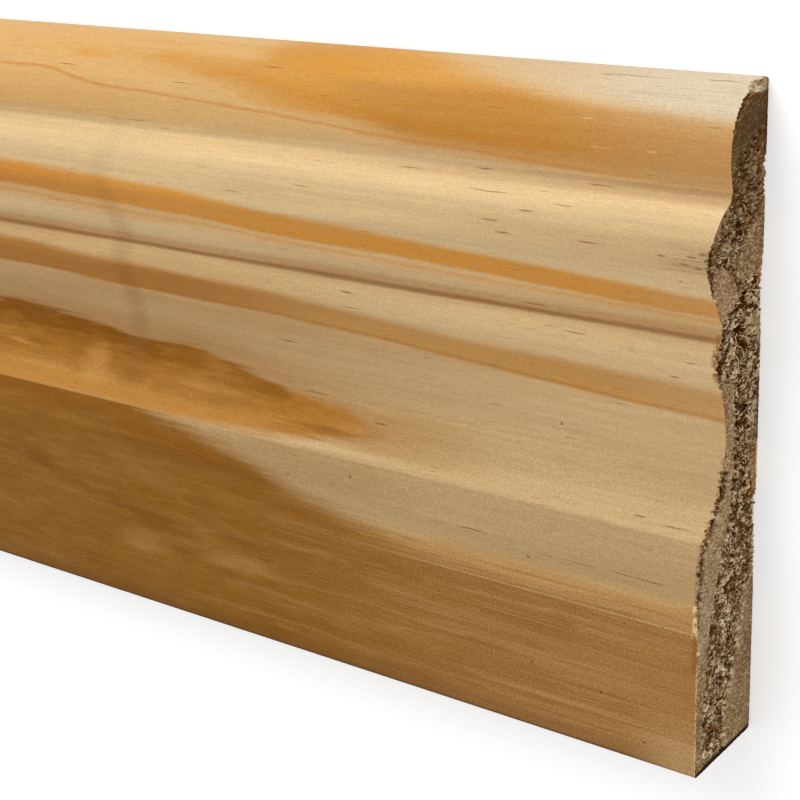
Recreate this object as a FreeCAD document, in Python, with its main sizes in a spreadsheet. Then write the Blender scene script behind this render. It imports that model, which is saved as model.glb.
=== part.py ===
"""A length of moulded pine skirting board, lying on its back.

X runs along the board, Y across its face from the foot edge to the top edge, Z out from the
back. The origin is under the middle of the board, on the surface it lies on. Millimetres.
"""
import FreeCAD, Part
import os
from math import asin, atan2, pi, sqrt

import Sketcher

NODE = "skirting_board"

SIZES = {
    "board_length": 2400.0,
    "board_height": 119.0,
    "board_thickness": 21.0,
    "arris_radius": 0.6,
    # Bead: a flat top edge, a quarter round out to its nose, a slower curve back in.
    "top_width": 1.9,
    "bead_upper_radius": 10.8,
    "bead_lower_radius": 17.0,
    # Quirk: the soft inner corner below the bead, its centre a step down from the nose.
    "quirk_drop": 5.6,
    "quirk_radius": 2.2,
    # Torus: a wide crown round to a tight nose, a step down and set back from the plinth.
    "torus_drop": 10.6,
    "torus_setback": 1.2,
    "torus_crown_radius": 14.0,
    "torus_nose_radius": 4.5,
    # Roll: its crest a step down from the torus nose, set back from the plinth.
    "roll_drop": 17.0,
    "roll_setback": 5.2,
    "roll_upper_radius": 3.2,
    "roll_lower_radius": 7.0,
    # Groove above the roll: a narrow floor cut in behind the crest.
    "groove_cut": 1.5,
    "groove_width": 2.0,
    "groove_radius": 3.0,
    # Cove: its hollow a step down from the crest and behind it, then out to the crease.
    "hollow_drop": 16.0,
    "hollow_cut": 3.6,
    "crease_drop": 14.9,
    # Shoulder of the plinth: from the crease down to the flat face.
    "shoulder_drop": 8.1,
    "shoulder_radius": 20.0,
}


def make_sheet(doc):
    """The spreadsheet of driving dimensions, one named cell for each size."""
    sheet = doc.addObject("Spreadsheet::Sheet", "Sizes")
    for row, (name, value) in enumerate(SIZES.items(), start=1):
        sheet.set(f"A{row}", name)
        sheet.set(f"B{row}", str(value))
        sheet.setAlias(f"B{row}", name)
    doc.recompute()
    return sheet


def point(height, depth):
    """A point of the section: height up the face, depth out from the back."""
    return FreeCAD.Vector(height, depth, 0)


def bearing(centre, target):
    """The angle of the direction from a centre to another point."""
    direction = target - centre
    return atan2(direction.y, direction.x)


def bulge(run, rise):
    """Radius of the arc that starts level and gains a rise over a run."""
    return (run ** 2 + rise ** 2) / (2 * rise)


def touching_centre(low, low_reach, high, high_reach):
    """The centre behind the face at given distances from two other centres."""
    along = high - low
    span = along.Length
    foot = (low_reach ** 2 - high_reach ** 2 + span ** 2) / (2 * span)
    along.normalize()
    behind = point(along.y, -along.x)
    return low + along * foot + behind * sqrt(low_reach ** 2 - foot ** 2)


def line(start, end):
    return Part.LineSegment(start, end)


def arc(centre, radius, start, end):
    """An arc that runs anticlockwise from one angle to another."""
    circle = Part.Circle(centre, FreeCAD.Vector(0, 0, 1), radius)
    return Part.ArcOfCircle(circle, start, end)


def bead_and_torus(sizes):
    """The top of the face, from the top edge down to the groove's floor."""
    top = sizes.board_height
    bead_height = top - sizes.bead_upper_radius
    bead_depth = sizes.top_width + sizes.bead_upper_radius
    bead_upper = point(bead_height, sizes.top_width)
    bead_lower = point(bead_height, bead_depth - sizes.bead_lower_radius)

    reach = sizes.bead_lower_radius + sizes.quirk_radius
    quirk_depth = bead_lower.y + sqrt(reach ** 2 - sizes.quirk_drop ** 2)
    quirk = point(bead_height - sizes.quirk_drop, quirk_depth)

    torus_depth = sizes.board_thickness - sizes.torus_setback
    nose = point(quirk.x - sizes.torus_drop, torus_depth - sizes.torus_nose_radius)
    crown = touching_centre(nose, sizes.torus_crown_radius - sizes.torus_nose_radius,
                            quirk, sizes.torus_crown_radius + sizes.quirk_radius)

    crest, corner = roll_points(sizes)
    groove = corner + point(sizes.groove_width, sizes.groove_radius)
    radii = sizes.torus_nose_radius + sizes.groove_radius
    slope = bearing(groove, nose) + asin(radii / (nose - groove).Length)

    torus_nose = arc(nose, sizes.torus_nose_radius, bearing(crown, nose), pi / 2 + slope)
    groove_sweep = arc(groove, sizes.groove_radius, -pi / 2, slope - pi / 2)
    return {
        "bead_upper": arc(bead_upper, sizes.bead_upper_radius, 0, pi / 2),
        "bead_lower": arc(bead_lower, sizes.bead_lower_radius, pi / 2, bearing(bead_lower, quirk)),
        "quirk": arc(quirk, sizes.quirk_radius, bearing(quirk, crown), bearing(quirk, bead_lower)),
        "torus_crown": arc(crown, sizes.torus_crown_radius, bearing(crown, quirk), bearing(crown, nose)),
        "torus_nose": torus_nose,
        "underside": line(torus_nose.EndPoint, groove_sweep.EndPoint),
        "groove_sweep": groove_sweep,
        "groove_floor": line(groove_sweep.StartPoint, corner),
    }


def roll_points(sizes):
    """The roll's crest, and the sharp corner where the roll drops into the groove."""
    torus_height = sizes.board_height - sizes.bead_upper_radius - sizes.quirk_drop - sizes.torus_drop
    crest = point(torus_height - sizes.roll_drop, sizes.board_thickness - sizes.roll_setback)
    rise = sizes.roll_upper_radius - sizes.groove_cut
    run = sqrt(sizes.roll_upper_radius ** 2 - rise ** 2)
    return crest, crest + point(run, -sizes.groove_cut)


def roll_and_cove(sizes):
    """The lower part of the face, from the groove's corner down to the plinth."""
    crest, corner = roll_points(sizes)
    roll_upper = crest - point(0, sizes.roll_upper_radius)
    roll_lower = crest - point(0, sizes.roll_lower_radius)

    lowest = crest - point(sizes.hollow_drop, sizes.hollow_cut)
    sweep_radius = bulge(sizes.hollow_drop, sizes.hollow_cut) - sizes.roll_lower_radius
    sweep = lowest + point(0, sweep_radius)

    plinth_top = lowest.x - sizes.crease_drop - sizes.shoulder_drop
    shoulder = point(plinth_top, sizes.board_thickness - sizes.shoulder_radius)
    fall = sqrt(sizes.shoulder_radius ** 2 - sizes.shoulder_drop ** 2)
    crease = shoulder + point(sizes.shoulder_drop, fall)
    hollow_radius = bulge(sizes.crease_drop, crease.y - lowest.y)
    hollow = lowest + point(0, hollow_radius)

    return {
        "roll_upper": arc(roll_upper, sizes.roll_upper_radius, bearing(roll_upper, corner), pi / 2),
        "roll_lower": arc(roll_lower, sizes.roll_lower_radius, pi / 2, bearing(roll_lower, sweep)),
        "sweep": arc(sweep, sweep_radius, -pi / 2, bearing(sweep, roll_lower)),
        "hollow": arc(hollow, hollow_radius, bearing(hollow, crease), -pi / 2),
        "shoulder": arc(shoulder, sizes.shoulder_radius, bearing(shoulder, crease), pi / 2),
    }


def plain_sides(sizes, plinth_top):
    """The plinth's face, the foot edge, the back and the top edge, with their eased arrises."""
    height = sizes.board_height
    thickness = sizes.board_thickness
    arris = sizes.arris_radius
    return {
        "plinth": line(plinth_top, point(arris, thickness)),
        "front_arris": arc(point(arris, thickness - arris), arris, pi / 2, pi),
        "foot_edge": line(point(0, thickness - arris), point(0, arris)),
        "foot_arris": arc(point(arris, arris), arris, pi, 3 * pi / 2),
        "back": line(point(arris, 0), point(height - arris, 0)),
        "top_arris": arc(point(height - arris, arris), arris, -pi / 2, 0),
        "top_edge": line(point(height, arris), point(height, sizes.top_width)),
    }


START, END, CENTRE = "start", "end", "centre"
HEIGHT_AXIS, DEPTH_AXIS = "height_axis", "depth_axis"

# Arcs that are followed from end to start, because they bend the other way.
CONCAVE = ("quirk", "groove_sweep", "sweep", "hollow")

# Neighbours that meet at a sharp corner. All others run into each other without one.
CORNERS = (("groove_floor", "roll_upper"), ("hollow", "shoulder"))

# Lines that lie along the face or square to it.
ALONG_HEIGHT = ("groove_floor", "plinth", "back")
ALONG_DEPTH = ("top_edge", "foot_edge")

# Points that the sizes are measured between.
ORIGIN = (HEIGHT_AXIS, START)
TOP = ("top_edge", END)
BEAD_NOSE = ("bead_lower", START)
QUIRK = ("quirk", CENTRE)
TORUS_NOSE = ("torus_nose", CENTRE)
GROOVE_FOOT = ("groove_floor", END)
GROOVE_HEAD = ("groove_floor", START)
CREST = ("roll_lower", START)
LOWEST = ("sweep", START)
CREASE = ("hollow", START)
PLINTH = ("plinth", START)

# Points that lie level with the centre of their arc.
LEVEL = (BEAD_NOSE, CREST, LOWEST)

# The two points of each size, the lower or deeper one first.
HEIGHTS = {
    "board_height": (ORIGIN, TOP),
    "quirk_drop": (QUIRK, BEAD_NOSE),
    "torus_drop": (TORUS_NOSE, QUIRK),
    "roll_drop": (CREST, TORUS_NOSE),
    "groove_width": (GROOVE_FOOT, GROOVE_HEAD),
    "hollow_drop": (LOWEST, CREST),
    "crease_drop": (CREASE, LOWEST),
    "shoulder_drop": (PLINTH, CREASE),
}
DEPTHS = {
    "board_thickness": (ORIGIN, PLINTH),
    "top_width": (ORIGIN, TOP),
    "torus_setback": (TORUS_NOSE, PLINTH),
    "roll_setback": (CREST, PLINTH),
    "groove_cut": (GROOVE_FOOT, CREST),
    "hollow_cut": (LOWEST, CREST),
}
RADII = {
    "bead_upper": "bead_upper_radius",
    "bead_lower": "bead_lower_radius",
    "quirk": "quirk_radius",
    "torus_crown": "torus_crown_radius",
    "torus_nose": "torus_nose_radius",
    "groove_sweep": "groove_radius",
    "roll_upper": "roll_upper_radius",
    "roll_lower": "roll_lower_radius",
    "shoulder": "shoulder_radius",
    "front_arris": "arris_radius",
    "foot_arris": "arris_radius",
    "top_arris": "arris_radius",
}


def at(index, piece, vertex):
    """The sketch's two numbers for the start, end or centre of a piece."""
    return index[piece], (START, END, CENTRE).index(vertex) + 1


def join_outline(sketch, index, names):
    """Close the outline: each piece runs into the next, or meets it at a corner."""
    for name, following in zip(names, names[1:] + names[:1]):
        leave = at(index, name, START if name in CONCAVE else END)
        enter = at(index, following, END if following in CONCAVE else START)
        kind = "Coincident" if (name, following) in CORNERS else "Tangent"
        sketch.addConstraint(Sketcher.Constraint(kind, *leave, *enter))


def square_outline(sketch, index):
    """Set the straight pieces and the furthest points square to the board."""
    for name in ALONG_HEIGHT:
        sketch.addConstraint(Sketcher.Constraint("Horizontal", index[name]))
    for name in ALONG_DEPTH:
        sketch.addConstraint(Sketcher.Constraint("Vertical", index[name]))
    for name, end in LEVEL:
        ends = (*at(index, name, end), *at(index, name, CENTRE))
        sketch.addConstraint(Sketcher.Constraint("Vertical", *ends))
    for name, axis in (("back", HEIGHT_AXIS), ("foot_edge", DEPTH_AXIS)):
        start = at(index, name, START)
        sketch.addConstraint(Sketcher.Constraint("PointOnObject", *start, index[axis]))


def bind(sketch, name, constraint, expression):
    """Add a dimension under a name and tie it to the spreadsheet."""
    sketch.renameConstraint(sketch.addConstraint(constraint), name)
    sketch.setExpression(f"Constraints.{name}", expression)


def size_outline(sketch, sizes, index):
    """Give the outline its sizes."""
    for kind, spans in (("DistanceX", HEIGHTS), ("DistanceY", DEPTHS)):
        for name, (low, high) in spans.items():
            # The torus is placed by its centre, so its setback is taken with its nose radius.
            to_centre = name == "torus_setback"
            span = getattr(sizes, name) + (sizes.torus_nose_radius if to_centre else 0)
            expression = f"Sizes.{name}" + (" + Sizes.torus_nose_radius" if to_centre else "")
            ends = (*at(index, *low), *at(index, *high))
            bind(sketch, name, Sketcher.Constraint(kind, *ends, span), expression)
    for piece, name in RADII.items():
        constraint = Sketcher.Constraint("Radius", index[piece], getattr(sizes, name))
        bind(sketch, f"{piece}_radius", constraint, f"Sizes.{name}")


def make_section(body, sizes):
    """The moulded section, drawn across the board."""
    plane = next(f for f in body.Origin.OriginFeatures if f.Role == "YZ_Plane")
    sketch = body.newObject("Sketcher::SketchObject", "Section")
    sketch.AttachmentSupport = [(plane, "")]
    sketch.MapMode = "FlatFace"
    outline = bead_and_torus(sizes) | roll_and_cove(sizes)
    outline |= plain_sides(sizes, outline["shoulder"].EndPoint)
    index = {HEIGHT_AXIS: -1, DEPTH_AXIS: -2}
    index |= {name: sketch.addGeometry(shape, False) for name, shape in outline.items()}
    join_outline(sketch, index, list(outline))
    square_outline(sketch, index)
    size_outline(sketch, sizes, index)
    return sketch


def make_board(doc, sizes):
    """The board: the moulded section run along its length, back down."""
    body = doc.addObject("PartDesign::Body", "Board")
    body.Label = NODE
    section = make_section(body, sizes)
    doc.recompute()
    run = body.newObject("PartDesign::Pad", "Run")
    run.Profile = section
    run.SideType = "Symmetric"
    run.setExpression("Length", "Sizes.board_length")
    body.setExpression(".Placement.Base.y", "-Sizes.board_height / 2")
    return body


def check(doc, body):
    """Stop if anything failed to build."""
    for item in doc.Objects:
        if "Invalid" in item.State or "Error" in item.State:
            raise RuntimeError(f"{item.Name} failed: {item.State}")
    shape = body.Shape
    if shape.isNull() or not shape.isValid():
        raise RuntimeError(f"{body.Label} has no valid shape")


def main():
    doc = FreeCAD.newDocument("SkirtingBoard")
    sizes = make_sheet(doc)
    board = make_board(doc, sizes)
    doc.recompute()
    check(doc, board)
    os.makedirs("parts", exist_ok=True)
    board.Shape.exportStep(f"parts/{board.Label}.step")
    box = board.Shape.BoundBox
    print(f"{board.Label}: {box.XLength:.1f} x {box.YLength:.1f} x {box.ZLength:.1f} mm, "
          f"{board.Shape.Volume / 1000:.1f} cm3")


main()
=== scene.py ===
"""Looks of a length of moulded pine skirting board that lies on its back.

X runs along the board, Y from the foot edge to the top edge, Z out from the back. Metres,
apart from the section, the saw marks and the patterns, which are worked out in millimetres.
"""
import cmath
import math
import random
from functools import partialmethod

import bpy
import numpy as np
from mathutils import Matrix, Vector, noise


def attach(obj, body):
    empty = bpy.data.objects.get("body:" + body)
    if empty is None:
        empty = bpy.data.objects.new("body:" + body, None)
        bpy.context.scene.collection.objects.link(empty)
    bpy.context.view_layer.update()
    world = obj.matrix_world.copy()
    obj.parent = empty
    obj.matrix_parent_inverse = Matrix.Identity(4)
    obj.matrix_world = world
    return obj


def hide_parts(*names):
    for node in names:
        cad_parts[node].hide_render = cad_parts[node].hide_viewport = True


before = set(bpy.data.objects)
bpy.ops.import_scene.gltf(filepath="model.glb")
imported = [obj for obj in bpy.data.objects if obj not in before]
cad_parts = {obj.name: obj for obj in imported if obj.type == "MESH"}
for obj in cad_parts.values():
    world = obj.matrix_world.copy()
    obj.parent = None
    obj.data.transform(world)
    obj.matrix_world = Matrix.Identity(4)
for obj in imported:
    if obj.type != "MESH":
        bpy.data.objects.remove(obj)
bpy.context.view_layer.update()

MM = 0.001

# The board and its moulded section, as in the CAD.
LENGTH = 2400.0
HEIGHT = 119.0
THICKNESS = 21.0
ARRIS = 0.6
TOP_WIDTH = 1.9
BEAD_UPPER = 10.8
BEAD_LOWER = 17.0
QUIRK_DROP = 5.6
QUIRK = 2.2
TORUS_DROP = 10.6
TORUS_SETBACK = 1.2
TORUS_CROWN = 14.0
TORUS_NOSE = 4.5
ROLL_DROP = 17.0
ROLL_SETBACK = 5.2
ROLL_UPPER = 3.2
ROLL_LOWER = 7.0
GROOVE_CUT = 1.5
GROOVE_WIDTH = 2.0
GROOVE = 3.0
HOLLOW_DROP = 16.0
HOLLOW_CUT = 3.6
CREASE_DROP = 14.9
SHOULDER_DROP = 8.1
SHOULDER = 20.0


# The section. A point is a complex number: height up the face + 1j * depth out from the back.

def toward(start, goal, reach):
    """The point at a distance from one point on the line to another."""
    return start + (goal - start) / abs(goal - start) * reach


def bulge(run, rise):
    """Radius of the arc that starts level and gains a rise over a run."""
    return (run ** 2 + rise ** 2) / (2 * rise)


def meeting(low, low_reach, high, high_reach):
    """The point behind the face at given distances from two others."""
    along = high - low
    foot = (low_reach ** 2 - high_reach ** 2 + abs(along) ** 2) / (2 * abs(along))
    return low + along / abs(along) * (foot - 1j * math.sqrt(low_reach ** 2 - foot ** 2))


def arc(centre, start, end, steps=60):
    """Points along an arc, the short way round."""
    first = cmath.phase(start - centre)
    turn = (cmath.phase(end - centre) - first + math.pi) % (2 * math.pi) - math.pi
    return centre + abs(start - centre) * np.exp(1j * (first + turn * np.linspace(0, 1, steps)))


def face_stretches():
    """The face from the top edge down to the foot edge, cut at its two sharp inner corners."""
    bead_height = HEIGHT - BEAD_UPPER
    bead_nose = bead_height + 1j * (TOP_WIDTH + BEAD_UPPER)
    bead_upper = bead_height + 1j * TOP_WIDTH
    bead_lower = bead_nose - 1j * BEAD_LOWER
    reach = BEAD_LOWER + QUIRK
    quirk = bead_lower - QUIRK_DROP + 1j * math.sqrt(reach ** 2 - QUIRK_DROP ** 2)
    nose = quirk.real - TORUS_DROP + 1j * (THICKNESS - TORUS_SETBACK - TORUS_NOSE)
    crown = meeting(nose, TORUS_CROWN - TORUS_NOSE, quirk, TORUS_CROWN + QUIRK)

    crest = nose.real - ROLL_DROP + 1j * (THICKNESS - ROLL_SETBACK)
    roll_upper = crest - 1j * ROLL_UPPER
    rise = ROLL_UPPER - GROOVE_CUT
    corner = crest + math.sqrt(ROLL_UPPER ** 2 - rise ** 2) - 1j * GROOVE_CUT
    groove = corner + GROOVE_WIDTH + 1j * GROOVE
    lean = cmath.phase(nose - groove) + math.asin((TORUS_NOSE + GROOVE) / abs(nose - groove))
    square = cmath.exp(1j * (lean + math.pi / 2))

    roll_lower = crest - 1j * ROLL_LOWER
    lowest = crest - HOLLOW_DROP - 1j * HOLLOW_CUT
    sweep = lowest + 1j * (bulge(HOLLOW_DROP, HOLLOW_CUT) - ROLL_LOWER)
    plinth_top = lowest.real - CREASE_DROP - SHOULDER_DROP + 1j * THICKNESS
    shoulder = plinth_top - 1j * SHOULDER
    crease = shoulder + SHOULDER_DROP + 1j * math.sqrt(SHOULDER ** 2 - SHOULDER_DROP ** 2)
    hollow = lowest + 1j * bulge(CREASE_DROP, crease.imag - lowest.imag)
    arris = ARRIS + 1j * (THICKNESS - ARRIS)

    upper = [
        arc(bead_upper, HEIGHT + 1j * TOP_WIDTH, bead_nose),
        arc(bead_lower, bead_nose, toward(bead_lower, quirk, BEAD_LOWER)),
        arc(quirk, toward(quirk, bead_lower, QUIRK), toward(quirk, crown, QUIRK)),
        arc(crown, toward(crown, quirk, TORUS_CROWN), toward(crown, nose, TORUS_CROWN)),
        arc(nose, toward(crown, nose, TORUS_CROWN), nose + TORUS_NOSE * square),
        arc(groove, groove - GROOVE * square, groove - 1j * GROOVE),
        [corner],
    ]
    middle = [
        arc(roll_upper, corner, crest),
        arc(roll_lower, crest, toward(roll_lower, sweep, ROLL_LOWER)),
        arc(sweep, toward(roll_lower, sweep, ROLL_LOWER), lowest),
        arc(hollow, lowest, crease),
    ]
    lower = [
        arc(shoulder, crease, plinth_top),
        arc(arris, ARRIS + 1j * THICKNESS, 1j * (THICKNESS - ARRIS), 12),
    ]
    return [np.concatenate(stretch) for stretch in (upper, middle, lower)]


def back_path():
    """The back from the top edge down to the foot edge, with its eased arrises."""
    high = HEIGHT - ARRIS + 1j * ARRIS
    low = ARRIS + 1j * ARRIS
    return np.concatenate([
        arc(high, HEIGHT + 1j * ARRIS, HEIGHT - ARRIS, 12),
        arc(low, ARRIS + 0j, 1j * ARRIS, 12),
    ])


def evenly(path, cells):
    """Points at equal distances along a path."""
    run = np.concatenate([[0], np.cumsum(np.abs(np.diff(path)))])
    places = np.linspace(0, run[-1], cells + 1)
    return np.interp(places, run, path.real) + 1j * np.interp(places, run, path.imag)


# Grid of the section: cells down the face and cells from the back to the face. Both are even,
# because the far part of the board takes every second point.
DOWN = 600
ACROSS = 88


def face_path():
    """The face in evenly spaced points, with a point on each of its sharp corners."""
    stretches = face_stretches()
    lengths = [np.abs(np.diff(s)).sum() for s in stretches]
    first, second = (2 * round(DOWN * n / sum(lengths) / 2) for n in lengths[:2])
    cells = (first, second, DOWN - first - second)
    parts = [evenly(s, n) for s, n in zip(stretches, cells)]
    return np.concatenate([parts[0], parts[1][1:], parts[2][1:]])


def ring_places():
    """Row and column of each point round the section: top edge, face, foot edge, back."""
    top = [(0, j) for j in range(ACROSS)]
    face = [(i, ACROSS) for i in range(DOWN)]
    foot = [(DOWN, j) for j in range(ACROSS, 0, -1)]
    back = [(i, 0) for i in range(DOWN, 0, -1)]
    return tuple(np.array(top + face + foot + back).T)


def halved(ring):
    """The same places in a grid with every second row and column."""
    return tuple(places[::2] // 2 for places in ring)


def smoothstep(value, low, high):
    share = np.clip((np.asarray(value, float) - low) / (high - low), 0, 1)
    return share * share * (3 - 2 * share)


def fractal(points, scale, detail, seed):
    """Smooth noise of about -1 to 1 at a list of (height, depth, along) points."""
    found = []
    for h, d, x in points:
        place = Vector((h / scale + seed, d / scale, x / scale))
        found.append(noise.fractal(place, 0.6, 2.1, detail))
    return np.array(found)


def bundles(places, slant, seed):
    """Torn bundles of fibres, as cells: how far inside its cell each place lies, and a number
    of 0 to 1 that the whole cell shares."""
    inside, number = [], []
    for place in places * cmath.exp(1j * math.radians(slant)):
        gaps, centres = noise.voronoi(Vector((place.real / BUNDLE_LONG, place.imag / BUNDLE_WIDE, seed)))
        inside.append(gaps[1] - gaps[0])
        number.append(abs(noise.cell(centres[0] * 9.7)))
    return np.array(inside), np.array(number)


# The sawn end in the photograph: at each height, the depths from and to which the saw tore it.
ROUGH_HEIGHTS = (0, 8, 12, 18, 28, 33, 45, 55, 63, 68, 71, 80, 84, 88, 91, 95, 99, 103, 108, 112, 119)
ROUGH_FROM = (18.2, 18.6, 18.4, 17.6, 16.4, 14.6, 10.5, 8.8, 9.2, 9.4, 13, 17, 9, 10, 17, 17, 14, 14,
              11, 0, 0)
ROUGH_TO = (10, 9.5, 8, 5.3, 3.5, 0, -1, 4, 1.5, 0, -1, 4.5, -1, 8.4, 8.6, 3.6, -1, -1, -1, 2, 3)

# Second torn strip, between the first and the back: how far out from the back it reaches.
INNER_HEIGHTS = (0, 78, 80, 86, 88, 119)
INNER_FROM = (-2, -2, 6.5, 6, -2, -2)

# Pits: height, depth, radius, how deep.
PITS = (
    (99.5, 7.4, 1.1, 0.9), (96.6, 4.6, 1, 0.7), (95.4, 8.2, 1.5, 1), (78.4, 7.6, 2, 1.2),
    (60, 11.6, 1.6, 0.9), (57, 8.6, 1.4, 0.9), (52, 12, 1.2, 1), (84, 5, 1.6, 0.8),
    (110, 7.4, 1.8, 0.5), (26, 15.2, 1.5, 0.8), (14.5, 11, 1.6, 0.8), (9, 16.8, 1.3, 0.9),
    (5.5, 13.5, 1.6, 0.8), (17, 13.4, 1.2, 0.7), (20, 8, 1.3, 0.6), (33, 7, 1.4, 0.6),
    (63.5, 4.5, 1.6, 0.8), (61.5, 7, 1.5, 1), (54, 10.2, 1.3, 1), (49.5, 3.6, 1.2, 0.8),
    (46, 3, 1.4, 0.9), (74, 6.8, 1.2, 0.7), (104, 6, 1.1, 0.5), (29.5, 9.5, 1.2, 0.7),
)

# How far the saw tore the two long corners of the end back, by height.
FACE_TEAR = (
    (0, 0.05), (18, 0.08), (22, 0.3), (27, 0.35), (31, 0.4), (34, 0.7), (44, 0.85), (54, 0.8),
    (57, 0.35), (60, 0.12), (69, 0.12), (71.5, 0.7), (76, 0.9), (79.5, 0.7), (81, 0.2), (85, 0.15),
    (86.5, 0.6), (89, 0.4), (91, 0.5), (93, 0.9), (94.5, 0.6), (96, 0.12), (109, 0.08), (112, 0.2),
    (114, 0.35), (116.8, 0.45), (118, 0.3), (119, 0.15),
)
BACK_TEAR = (
    (0, 0.05), (28, 0.1), (30, 0.3), (36, 0.35), (40, 0.7), (45.5, 0.9), (47, 0.2), (53, 0.15),
    (70, 0.15), (78, 0.25), (83, 0.8), (88, 0.5), (90, 0.15), (98.5, 0.12), (99.7, 0.15), (100.4, 0.8),
    (101.4, 0.3), (102.1, 0.65), (102.7, 0.15), (103.4, 0.1), (104.3, 0.9), (106, 0.35), (108, 0.1),
    (119, 0.1),
)

# Teeth of those corners: their pitch, and where between two of them the tip is.
TOOTH = 1.7
TOOTH_TIP = 0.75

# How far the end slopes down to its torn corner with the face, and with the back.
FACE_SLOPE = 1.8
BACK_SLOPE = 1.4

# Width of the torn strip beside the face, by height.
FRAYED = (
    (0, -1), (16, -0.6), (20, 0.1), (26, 0.6), (31, 1.1), (34, 1.9), (44, 2.1), (54, 2.4), (57, 1.2),
    (60, -0.3), (69, -0.5), (71.5, 1.5), (73, 2.8), (79, 2.8), (80.5, 0.4), (82, -0.5), (85, -0.5),
    (87, 1), (90, 2.4), (94, 2.6), (96, 0.5), (98, -1), (109, -1), (112, 0.5), (114, 1.4), (117, 2),
    (119, 2),
)

# The saw rounded the top of the end over: from this height up, and beyond this depth.
LIP_HEIGHT = 117.0
LIP_DEPTH = 3.2
LIP_SETBACK = 1.3

# Bundles of torn fibres: their two slants in degrees, their length and their width.
SLANTS = (38, 82)
BUNDLE_LONG = 1.25
BUNDLE_WIDE = 0.6

# How deep the saw's own marks, the bundles, the cracks between them, the swell and the frayed
# strip go, and how deep all of it together can go.
SAW_DEPTH = 0.1
BUNDLE_DEPTH = 0.75
CRACK_DEPTH = 0.6
SWELL_DEPTH = 0.35
FRAYED_DEPTH = 0.25
DEEPEST = 2.4

# How much of their depth the pits add, and how much longer than wide they are.
PIT_SHARE = 0.65
PIT_STRETCH = 1.4

# What is stored with the points of both sawn ends, for their material.
END_VALUES = ("sunk", "torn", "tone", "edge")

# Edges that turn by more degrees than this shade as sharp ones.
SHARP_FROM = 38


def rounded_lip(section):
    """How far the top of the near end is rounded over."""
    spots = [(p.real, p.imag, 5.0) for p in section.ravel()]
    sway = fractal(spots, 1.3, 3, 4.0).reshape(section.shape)
    rise = smoothstep(section.real + 0.25 * sway, LIP_HEIGHT - 0.2, LIP_HEIGHT + 2.2)
    return LIP_SETBACK * rise * smoothstep(section.imag + 0.5 * sway, LIP_DEPTH - 1, LIP_DEPTH + 1)


def torn_back(heights, tear, seed):
    """How far an edge of the end is torn back: teeth of uneven length and pitch."""
    reach = np.interp(heights, *zip(*tear))
    sway = np.array([noise.noise(Vector((h * 0.45, 3, seed))) for h in heights])
    count = heights / TOOTH + 1.3 * sway
    phase = count - np.floor(count)
    length = np.array([abs(noise.cell(Vector((math.floor(c) + 0.5, 9, seed)))) for c in count])
    nibble = np.array([noise.fractal(Vector((h * 1.6, 1, seed)), 0.5, 2.0, 3) for h in heights])
    tooth = np.where(phase < TOOTH_TIP, phase / TOOTH_TIP, (1 - phase) / (1 - TOOTH_TIP))
    return np.clip(reach * (0.55 * length * tooth + 0.55 + 0.9 * nibble), 0.0, 2.0)


def roughness_of(heights, depths):
    """1 where the saw tore the end, 0 where it left it smooth."""
    outer = np.interp(heights, ROUGH_HEIGHTS, ROUGH_FROM)
    inner = np.interp(heights, ROUGH_HEIGHTS, ROUGH_TO)
    strip = smoothstep(depths, inner - 0.8, inner + 0.5) * smoothstep(-depths, -outer - 0.4, -outer + 0.9)
    second = smoothstep(np.interp(heights, INNER_HEIGHTS, INNER_FROM) - depths, -0.9, 0.4)
    return np.maximum(strip, second)


def torn_end(section, seed):
    """How far each point of a sawn end lies below the saw's plane, how torn it is, and the tone
    of its bundle of fibres."""
    flat = section.ravel()
    heights, depths = flat.real, flat.imag
    from_face = np.abs(section - section[:, -1:]).ravel()
    spots = [(h, d, seed) for h, d in zip(heights, depths)]
    sway_up = fractal(spots, 1.5, 2, seed + 3)
    sway_out = fractal(spots, 1.5, 2, seed + 17)
    places = flat + 0.4 * sway_up + 0.4j * sway_out
    torn = roughness_of(heights + 1.6 * fractal(spots, 4.0, 2, seed + 9), depths + 0.8 * sway_out)
    frayed = smoothstep(np.interp(heights, *zip(*FRAYED)) - from_face + 0.6 * sway_out, -0.4, 0.3)
    torn = np.maximum(torn, frayed) * smoothstep(heights, 0.3, 1.6)
    steep = smoothstep(fractal(spots, 6.0, 2, seed + 21), -0.25, 0.25)
    inside, number = np.zeros((2, len(heights)))
    for slant, share in zip(SLANTS, (1 - steep, steep)):
        found = bundles(places, slant, seed + slant)
        inside += share * found[0]
        number += share * found[1]
    crack = 1 - smoothstep(inside, 0.0, 0.4)
    swell = fractal(spots, 2.4, 2, seed + 5)
    pits = np.zeros(len(heights))
    for height, depth, radius, deep in PITS:
        away = np.hypot((places.real - height) / PIT_STRETCH, places.imag - depth)
        pits = np.maximum(pits, deep * smoothstep(-away, -radius, 0))
    rough = SAW_DEPTH + BUNDLE_DEPTH * number + CRACK_DEPTH * crack + SWELL_DEPTH * swell
    rough = rough + PIT_SHARE * pits + FRAYED_DEPTH * frayed
    smooth = SAW_DEPTH + 0.05 * number + 0.05 * crack
    held = smoothstep(from_face, 0.0, 0.9) * smoothstep(depths, 0.0, 0.7)
    sunk = smooth * (1 - torn * held) + torn * held * np.clip(rough, 0.04, DEEPEST)
    return tuple(found.reshape(section.shape) for found in (np.maximum(sunk, 0.03), torn, number))


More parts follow.
